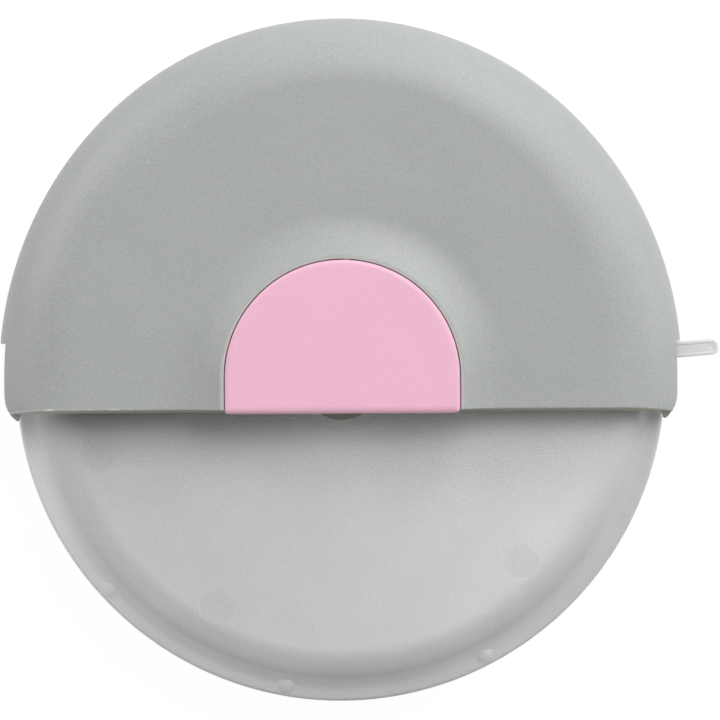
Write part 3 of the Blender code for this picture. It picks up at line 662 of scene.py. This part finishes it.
shellMesh = carved(
    "shellHalf",
    shellBlank(shell),
    [
        ("DIFFERENCE", shellCavity(shell)),
        ("DIFFERENCE", shellMouth(shell)),
        ("DIFFERENCE", shellPocket(shell)),
        ("UNION", pivotBoss(shell)),
        ("UNION", ribArc(shell)),
        ("DIFFERENCE", disc(shell["axleHole"], -shell["past"], shell["far"])),
        ("DIFFERENCE", disc(shell["headSeat"], shell["headFloor"], shell["far"])),
        ("DIFFERENCE", shellSlot(shell, 1)),
        ("DIFFERENCE", shellSlot(shell, -1)),
    ],
)
finishPiece("gripShellFront", shellMesh, asDrawn, greyPlastic, "grip", ["front_shell"])
finishPiece("gripShellRear", shellMesh, turnedOver, greyPlastic, "grip", ["rear_shell"])


# Hub cover: a D plate with a crowned edge and a slanted bottom, hollow behind, with the nub of its
# moulding gate at the crown.
cover = {
    "radius": 18.9,
    "foot": 5.5,
    "face": 12.75,
    "seat": 10.2,
    "edgeRound": 0.36,
    "edgeWidth": 0.9,
    "edgeLand": 0.02,
    "faceLand": 0.2,
    "bottomSlant": 0.3,
    "cornerRound": 0.6,
    "cornerLeast": 0.3,
    "skin": 1.5,
    "skirt": 1.6,
    "past": 2.0,  # how far the hollow's shape runs below the seat
    "nubAcross": 0.7,
    "nubRadius": 0.3,
    "nubProud": 0.14,
    "nubFoot": 0.4,
    "nubDrop": 0.25,
}


def coverOutline(c, inset, slant=0.0):
    radius, foot = c["radius"] - inset, c["foot"] - inset + slant
    corner = max(c["cornerLeast"], c["cornerRound"] - inset)
    right = arcPoints((radius - corner, corner - foot), corner, corner, -90, 0, 8)
    crown = arcPoints((0, 0), radius, radius, 0, 180, 144)
    return right + crown + [(-x, y) for x, y in reversed(right)]


def coverPlate(c):  # levels of inset, height and slant
    levels = [(0.0, c["seat"], c["bottomSlant"]), (0.0, c["face"] - c["edgeRound"] - c["edgeLand"], 0.0)]
    for reach, rise in arcPoints((0, 0), c["edgeWidth"], c["edgeRound"], 0, 90, 10):
        levels.append((c["edgeWidth"] - reach, c["face"] - c["edgeRound"] + rise, 0.0))
    levels.append((c["edgeWidth"] + c["faceLand"], c["face"], 0.0))
    return loft([[(x, y, z) for x, y in coverOutline(c, inset, slant)] for inset, z, slant in levels])


def coverHollow(c):
    return prism(coverOutline(c, c["skirt"]), c["seat"] - c["past"], c["face"] - c["skin"])


def coverNub(c):
    centre = (c["nubAcross"], c["radius"] + c["nubProud"] - c["nubRadius"])
    return disc(c["nubRadius"], c["seat"] + c["nubFoot"], c["face"] - c["nubDrop"], 20, centre)


coverSteps = [("DIFFERENCE", coverHollow(cover)), ("UNION", coverNub(cover))]
coverMesh = carved("hubCover", coverPlate(cover), coverSteps)
finishPiece("hubCoverFront", coverMesh, asDrawn, pinkPlastic, "grip", ["front_hub_cover"])
finishPiece("hubCoverRear", coverMesh, turnedOver, pinkPlastic, "grip", ["rear_hub_cover"])


# Trees of geometry nodes: a start with named sockets, and an end that paints what was made
def startTree(name, sockets, result):
    tree = bpy.data.node_groups.new(name, "GeometryNodeTree")
    for socket, kind in sockets.items():
        tree.interface.new_socket(socket, in_out="INPUT", socket_type=f"NodeSocket{kind}")
    tree.interface.new_socket(result, in_out="OUTPUT", socket_type="NodeSocketGeometry")
    return tree, addNode(tree, "NodeGroupInput").outputs


def endTree(tree, shape, material, result):
    whole = addNode(tree, "GeometryNodeRealizeInstances", {"Geometry": shape}).outputs[0]
    painted = addNode(tree, "GeometryNodeSetMaterial", {"Geometry": whole, "Material": material}).outputs[0]
    addNode(tree, "NodeGroupOutput", {result: painted})


# One tree sweeps a closed section round the axle: the guard's bowl, its hub ring and the blade.
def sweepTree():
    sockets = {
        "Section": "Geometry",
        "Path radius": "Float",
        "Start": "Float",
        "Sweep": "Float",
        "Points": "Int",
        "Closed": "Bool",
        "Material": "Material",
    }
    tree, given = startTree("sectionRoundTheAxle", sockets, "Piece")
    inputs = {
        "Resolution": given["Points"],
        "Radius": given["Path radius"],
        "Start Angle": given["Start"],
        "Sweep Angle": given["Sweep"],
    }
    arc = addNode(tree, "GeometryNodeCurveArc", inputs).outputs["Curve"]
    ring = addNode(tree, "GeometryNodeSetSplineCyclic", {"Geometry": arc, "Cyclic": given["Closed"]}).outputs[0]
    spot = addNode(tree, "GeometryNodeInputPosition").outputs["Position"]
    outward = addNode(tree, "ShaderNodeVectorMath", {0: spot}, operation="NORMALIZE").outputs[0]
    path = addNode(tree, "GeometryNodeSetCurveNormal", {"Curve": ring, "Normal": outward}, mode="FREE")
    section = addNode(tree, "GeometryNodeMeshToCurve", {"Mesh": given["Section"]}).outputs[0]
    inputs = {"Curve": path.outputs[0], "Profile Curve": section, "Fill Caps": True}
    endTree(tree, addNode(tree, "GeometryNodeCurveToMesh", inputs).outputs[0], given["Material"], "Piece")
    return tree


sectionSweep = sweepTree()


def treeMesh(name, tree, shape, values):
    made = newObject(name, shape)
    step = made.modifiers.new("tree", "NODES")
    step.node_group = tree
    for item in tree.interface.items_tree:
        if item.in_out == "INPUT" and item.name in values:
            step[item.identifier] = values[item.name]
    mesh = evaluated(made)
    bpy.data.objects.remove(made)
    tidy = bmesh.new()
    tidy.from_mesh(mesh)
    bmesh.ops.remove_doubles(tidy, verts=tidy.verts, dist=meshing["treeMerge"])
    bmesh.ops.recalc_face_normals(tidy, faces=tidy.faces)
    bpy.data.meshes.remove(mesh)
    return tidy


def swept(name, section, material, start=0.0, sweep=360.0, steps=180):
    radius = section[0][0]
    loop = bmesh.new()
    corners = [loop.verts.new((reach - radius, -level, 0.0)) for reach, level in section]
    for index, corner in enumerate(corners):
        loop.edges.new((corner, corners[(index + 1) % len(corners)]))
    whole = sweep == 360.0
    values = {
        "Path radius": radius,
        "Start": math.radians(start),
        "Sweep": math.radians(360.0 * (steps - 1) / steps if whole else sweep),
        "Points": steps if whole else steps + 1,
        "Closed": whole,
        "Material": material,
    }
    return treeMesh(name, sectionSweep, loop, values)


# Swing guard, one half: a flat wall, round shoulder, hollow root and flange, a ring on the grip's boss
# and half of the finger tab.
guard = {
    "start": -176.5,
    "end": 5.675,
    "bore": 6.91,
    "ringOuter": 9.7,
    "ringLow": 2.7,
    "ringHigh": 4.55,
    "ringSteps": 96,
    "wallFrom": 8.4,
    "inside": 3.4,
    "face": 4.6,
    "faceLand": 1.0,
    "wall": 1.2,
    "shoulderEnd": 48.3,
    "shoulder": 4.5,
    "root": 2.3,
    "radius": 52.25,
    "flangeTop": 0.9,
    "flangeRound": 0.5,
    "flangeLand": 0.1,
    "seam": 0.1,
    "padRadius": 1.5,
    "padCentre": 0.67,
    "padSquash": 0.375,
    "padFade": 0.24,
    "padTallest": 2,
    "padCircle": 50.5,
    "padFirst": -25.7,
    "padPitch": -37.3,
    "padCount": 4,
    "markRadius": 2.82,
    "markSlope": 0.32,
    "markDepth": 0.1,
    # circle, angle and lean of each
    "marks": ((41.5, -46.0, 235.0), (42.2, -118.7, 205.0), (41.3, -162.5, 20.0)),
}
guardPlastic = frostedNatural(guard)


def guardSection(g):  # the round shoulder runs into a hollow root of equal slope
    slope = 2.0 * math.atan((g["face"] - g["flangeTop"]) / (g["shoulder"] + g["root"]))
    bulge, hollow = g["shoulder"] / math.sin(slope), g["root"] / math.sin(slope)
    crown = (g["shoulderEnd"] - g["shoulder"], g["face"] - bulge)
    foot = (g["shoulderEnd"] + g["root"], g["flangeTop"] + hollow)
    steep, wall = math.degrees(slope), g["wall"]
    atSeam = math.degrees(math.acos((foot[1] - g["seam"]) / (hollow + wall)))
    section = [(g["wallFrom"], g["inside"]), (g["wallFrom"], g["face"]), (crown[0] - g["faceLand"], g["face"])]
    section += arcPoints(crown, bulge, bulge, 90, 90 - steep, 14)
    section += arcPoints(foot, hollow, hollow, 270 - steep, 270, 10)[1:]
    edge, rim = g["radius"] - g["flangeRound"], g["flangeRound"]
    section += [(edge - g["flangeLand"], g["flangeTop"])]
    section += arcPoints((edge, g["flangeTop"] - rim), rim, rim, 90, 0, 5)
    section += [(g["radius"], g["seam"])]
    section += arcPoints(foot, hollow + wall, hollow + wall, 270 - atSeam, 270 - steep, 5)
    return section + arcPoints(crown, bulge - wall, bulge - wall, 90 - steep, 90, 10)[1:]


# Finger tab: its face is dished behind a narrow border, with a small round ejector mark near the tip.
tab = {
    "angle": 4.25,
    "lowRoot": 48.97,
    "highRoot": 46.8,
    "tip": 60.85,
    "rootWidth": 2.6,
    "tipWidth": 2.4,
    "tipRound": 0.9,
    "tipLeast": 0.25,
    "low": 0.15,
    "lowEdge": 0.12,
    "high": 3.5,
    "edgeRound": 0.16,
    "border": 0.42,
    "dish": 0.09,
    "dishSlope": 0.12,
    "markAt": 59.75,
    "markRadius": 0.45,
    "markSlope": 0.1,
    "markDepth": 0.06,
    "markLean": 180.0,
}


def tabOutline(t, inset, level):
    tip, corner = t["tip"] - inset, max(t["tipLeast"], t["tipRound"] - inset)
    half = t["tipWidth"] / 2 - inset
    share = (level - t["low"]) / (t["high"] - t["low"])
    root = t["lowRoot"] + (t["highRoot"] - t["lowRoot"]) * share  # slants into the guard's shoulder
    upper = [(root, t["rootWidth"] / 2 - inset)]
    upper += arcPoints((tip - corner, half - corner), corner, corner, 90, 0, 8)
    return upper + [(x, -y) for x, y in reversed(upper)]


def fingerTab(t):
    levels = [(t["lowEdge"], t["low"]), (0.0, t["low"] + t["lowEdge"])]
    for reach, rise in arcPoints((0, 0), t["edgeRound"], t["edgeRound"], 0, 90, 6):
        levels.append((t["edgeRound"] - reach, t["high"] - t["edgeRound"] + rise))
    levels += [(t["border"], t["high"]), (t["border"] + t["dishSlope"], t["high"] - t["dish"])]
    shape = loft([[(x, y, z) for x, y in tabOutline(t, inset, z)] for inset, z in levels])
    turn = Matrix.Rotation(math.radians(t["angle"]), 3, "Z")
    bmesh.ops.rotate(shape, verts=shape.verts, matrix=turn)
    return shape


# Low domes at equal steps along the rim, where the two halves are pegged together.
def padTree():
    sockets = {
        "Nothing": "Geometry",
        "Circle": "Float",
        "First": "Float",
        "Pitch": "Float",
        "Count": "Int",
        "Radius": "Float",
        "Squash": "Float",
        "Tallest": "Int",
        "Fade": "Float",
        "Level": "Float",
        "Material": "Material",
    }
    tree, given = startTree("padsAlongTheRim", sockets, "Pads")
    order = addNode(tree, "GeometryNodeInputIndex").outputs["Index"]
    inputs = {0: order, 1: given["Pitch"], 2: given["First"]}
    angle = addNode(tree, "ShaderNodeMath", inputs, operation="MULTIPLY_ADD").outputs[0]
    place = {"Z": given["Level"]}
    for axis, operation in (("X", "COSINE"), ("Y", "SINE")):
        share = addNode(tree, "ShaderNodeMath", {0: angle}, operation=operation).outputs[0]
        inputs = {0: share, 1: given["Circle"]}
        place[axis] = addNode(tree, "ShaderNodeMath", inputs, operation="MULTIPLY").outputs[0]
    spot = addNode(tree, "ShaderNodeCombineXYZ", place).outputs[0]
    points = addNode(tree, "GeometryNodePoints", {"Count": given["Count"], "Position": spot}).outputs[0]
    inputs = {"Segments": 40, "Rings": 24, "Radius": given["Radius"]}
    ball = addNode(tree, "GeometryNodeMeshUVSphere", inputs).outputs["Mesh"]
    # domes get lower away from the tallest
    away = addNode(tree, "ShaderNodeMath", {0: order, 1: given["Tallest"]}, operation="SUBTRACT").outputs[0]
    away = addNode(tree, "ShaderNodeMath", {0: away}, operation="ABSOLUTE").outputs[0]
    lower = addNode(tree, "ShaderNodeMath", {0: away, 1: given["Fade"]}, operation="MULTIPLY").outputs[0]
    share = addNode(tree, "ShaderNodeMath", {0: 1.0, 1: lower}, operation="SUBTRACT").outputs[0]
    height = addNode(tree, "ShaderNodeMath", {0: share, 1: given["Squash"]}, operation="MULTIPLY").outputs[0]
    squash = addNode(tree, "ShaderNodeCombineXYZ", {"X": 1.0, "Y": 1.0, "Z": height}).outputs[0]
    inputs = {"Points": points, "Instance": ball, "Scale": squash}
    pads = addNode(tree, "GeometryNodeInstanceOnPoints", inputs).outputs[0]
    endTree(tree, pads, given["Material"], "Pads")
    return tree


# Print of an ejector pin that stood a little askew, so that one side is deeper
def ejectorMark(circle, angle, lean, face, sizes, steps=48):
    turn, radius, pitch = math.radians(angle), sizes["markRadius"], 360.0 / steps
    centre = (circle * math.cos(turn), circle * math.sin(turn))
    past = 0.3  # how far the print's shape stands over the face
    evenShare, leanShare = 0.78, 0.22  # of the depth
    loops = []
    for reach, level in ((radius - sizes["markSlope"], face), (radius, face), (radius, face + past)):
        rim = arcPoints(centre, reach, reach, 0, 360.0 - pitch, steps - 1)
        loops.append([(x, y, level) for x, y in rim])
    for step, (x, y, level) in enumerate(loops[0]):
        sunk = evenShare + leanShare * math.cos(math.radians(pitch * step - lean))
        loops[0][step] = (x, y, level - sizes["markDepth"] * sunk)
    return loft(loops)


padValues = {
    "Circle": guard["padCircle"],
    "First": math.radians(guard["padFirst"]),
    "Pitch": math.radians(guard["padPitch"]),
    "Count": guard["padCount"],
    "Radius": guard["padRadius"],
    "Squash": guard["padSquash"],
    "Tallest": guard["padTallest"],
    "Fade": guard["padFade"],
    "Level": guard["padCentre"],
    "Material": guardPlastic,
}
ringSection = [
    (guard["bore"], guard["ringLow"]),
    (guard["ringOuter"], guard["ringLow"]),
    (guard["ringOuter"], guard["ringHigh"]),
    (guard["bore"], guard["ringHigh"]),
]
pinPrints = [ejectorMark(*mark, guard["face"], guard) for mark in guard["marks"]]
pinPrints.append(ejectorMark(tab["markAt"], tab["angle"], tab["markLean"], tab["high"] - tab["dish"], tab))
guardMesh = carved(
    "guardHalf",
    swept("guardBowl", guardSection(guard), guardPlastic, guard["start"], guard["end"] - guard["start"]),
    [
        ("UNION", swept("guardRing", ringSection, guardPlastic, steps=guard["ringSteps"])),
        ("UNION", fingerTab(tab)),
        ("UNION", treeMesh("rimPads", padTree(), bmesh.new(), padValues)),
        *[("DIFFERENCE", mark) for mark in pinPrints],
    ],
)
finishPiece("swingGuardFront", guardMesh, asDrawn, guardPlastic, "guard", ["guard_front"])
finishPiece("swingGuardRear", guardMesh, mirrored, guardPlastic, "guard", ["guard_rear"])


# Blade: flat wheel, ground to a thin edge on both faces.
wheel = {
    "radius": 47.5,
    "bore": 4.7,
    "half": 0.5,
    "bevel": 3.0,
    "heelRound": 0.15,
    "heelDrop": 0.04,
    "edgeHalf": 0.06,
    "steps": 256,
}


def bladeSection(w):
    heel = w["radius"] - w["bevel"]
    upper = [(w["bore"], w["half"]), (heel - w["heelRound"], w["half"])]
    upper += [(heel + w["heelRound"], w["half"] - w["heelDrop"]), (w["radius"], w["edgeHalf"])]
    return upper + [(reach, -level) for reach, level in reversed(upper)]


bladeBlank = swept("wheelBlade", bladeSection(wheel), bladeSteel, steps=wheel["steps"])
bladeMesh = carved("wheelBlade", bladeBlank, [])
finishPiece("bladeWheel", bladeMesh, asDrawn, bladeSteel, "wheel", ["blade"])

for node, finish in (
    ("front_blade_hub", hubPlastic),
    ("rear_blade_hub", hubPlastic),
    ("axle_barrel", axleSteel),
    ("axle_screw", axleSteel),
    ("front_thrust_washer", axleSteel),
    ("rear_thrust_washer", axleSteel),
):
    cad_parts[node].data.materials.clear()
    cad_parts[node].data.materials.append(finish)
print("pieces in place")


# Stage: pale floor, soft lights all round and a camera that looks almost straight down.
stage = {
    "frameWidth": 115.9,
    "centre": (3.138, 2.596),
    "roll": -0.3,
    "distance": 3000.0,
    "sensor": 36.0,
    "floorReach": 3.0,
    "floorGlow": 1.06,
    "tilt": (1.39, 0.95),
    "whiteShare": 0.9,
    "ambient": 0.02,
    "lampDistance": 1.5,
    "lamps": {  # azimuth, elevation, size and level, which at 1 shows a colour as written
        "right": (12.0, 18.0, (0.4, 0.3), 0.175),
        "low": (48.0, 21.0, (1.4, 0.55), 0.37),
        "key": (53.0, 50.0, (1.3, 0.8), 0.662),
        "top": (53.0, 73.0, (1.2, 0.9), 0.114),
        "left": (145.0, 22.0, (1.2, 0.6), 0.49),
        "fill": (235.0, 20.0, (1.2, 0.5), 0.23),
        "front": (270.0, 14.0, (1.4, 0.5), 0.123),
    },
}


def seenRay(tree):  # rays that show the surroundings: to the camera, in gloss and through clear plastic
    rays = addNode(tree, "ShaderNodeLightPath").outputs
    seen = rays["Is Camera Ray"]
    for kind in ("Is Glossy Ray", "Is Transmission Ray"):
        seen = addNode(tree, "ShaderNodeMath", {0: seen, 1: rays[kind]}, operation="MAXIMUM").outputs[0]
    return seen


def whiteFloor():
    material, tree, shader = newMaterial("paleStudioFloor")
    inputs = {0: seenRay(tree), 1: stage["whiteShare"]}
    share = addNode(tree, "ShaderNodeMath", inputs, operation="MULTIPLY").outputs[0]
    place = addNode(tree, "ShaderNodeTexCoord").outputs["Object"]
    cloud = addNode(tree, "ShaderNodeTexNoise", {"Vector": place, "Scale": 4.0}).outputs["Fac"]
    inputs = {0: cloud, 6: linear("#f4f4f4"), 7: linear("#f7f7f7")}
    tint = addNode(tree, "ShaderNodeMix", inputs, data_type="RGBA").outputs[2]
    setInputs(tree, shader, {"Base Color": tint, "Roughness": 0.9})
    inputs = {"Color": linear("#ffffff"), "Strength": stage["floorGlow"]}
    glow = addNode(tree, "ShaderNodeEmission", inputs).outputs[0]
    mixed = addNode(tree, "ShaderNodeMixShader", {0: share, 1: shader.outputs[0], 2: glow}).outputs[0]
    setInputs(tree, tree.nodes["Material Output"], {"Surface": mixed})
    return material


reach = stage["floorReach"]
corners = [(-reach, -reach, 0), (reach, -reach, 0), (reach, reach, 0), (-reach, reach, 0)]
floorMesh = bpy.data.meshes.new("studioFloor")
floorMesh.from_pydata(corners, [], [(0, 1, 2, 3)])
floorMesh.materials.append(whiteFloor())
newObject("studioFloor", floorMesh)


def softBox(name, azimuth, elevation, size, level):
    light = bpy.data.lights.new(name, "AREA")
    light.shape = "RECTANGLE"
    light.size, light.size_y = size
    light.energy = level * (math.pi * stage["lampDistance"]) ** 2
    lamp = bpy.data.objects.new(name, light)
    turn, lift = math.radians(azimuth), math.radians(elevation)
    spot = Vector((math.cos(lift) * math.cos(turn), math.cos(lift) * math.sin(turn), math.sin(lift)))
    lamp.location = spot * stage["lampDistance"]
    lamp.rotation_euler = (-spot).to_track_quat("-Z", "Y").to_euler()
    lamp.visible_camera = False
    scene.collection.objects.link(lamp)


for side, values in stage["lamps"].items():
    softBox(f"{side}SoftBox", *values)

world = bpy.data.worlds.new("studioWorld")
scene.world = world
world.use_nodes = True
skyTree = world.node_tree
inputs = {"Value": seenRay(skyTree), "To Min": stage["ambient"], "To Max": 1.0}
level = addNode(skyTree, "ShaderNodeMapRange", inputs).outputs["Result"]
setInputs(skyTree, skyTree.nodes["Background"], {"Strength": level, "Color": linear("#ffffff")})

lens = bpy.data.cameras.new("photoCamera")
lens.sensor_width = stage["sensor"]
lens.lens = stage["sensor"] * stage["distance"] / stage["frameWidth"]
camera = bpy.data.objects.new("photoCamera", lens)
aim = Vector((stage["centre"][0] * mm, stage["centre"][1] * mm, midPlane))
tilts = zip(stage["tilt"], "YX")
toLeft, toCrown = (Matrix.Rotation(-math.radians(angle), 3, axis) for angle, axis in tilts)
view = toCrown @ toLeft @ Matrix.Rotation(math.radians(stage["roll"]), 3, "Z")
camera.location = aim + view @ Vector((0.0, 0.0, stage["distance"] * mm))
camera.rotation_euler = view.to_euler()
scene.collection.objects.link(camera)
scene.camera = camera
scene.view_settings.view_transform = "Standard"
print("stage set")
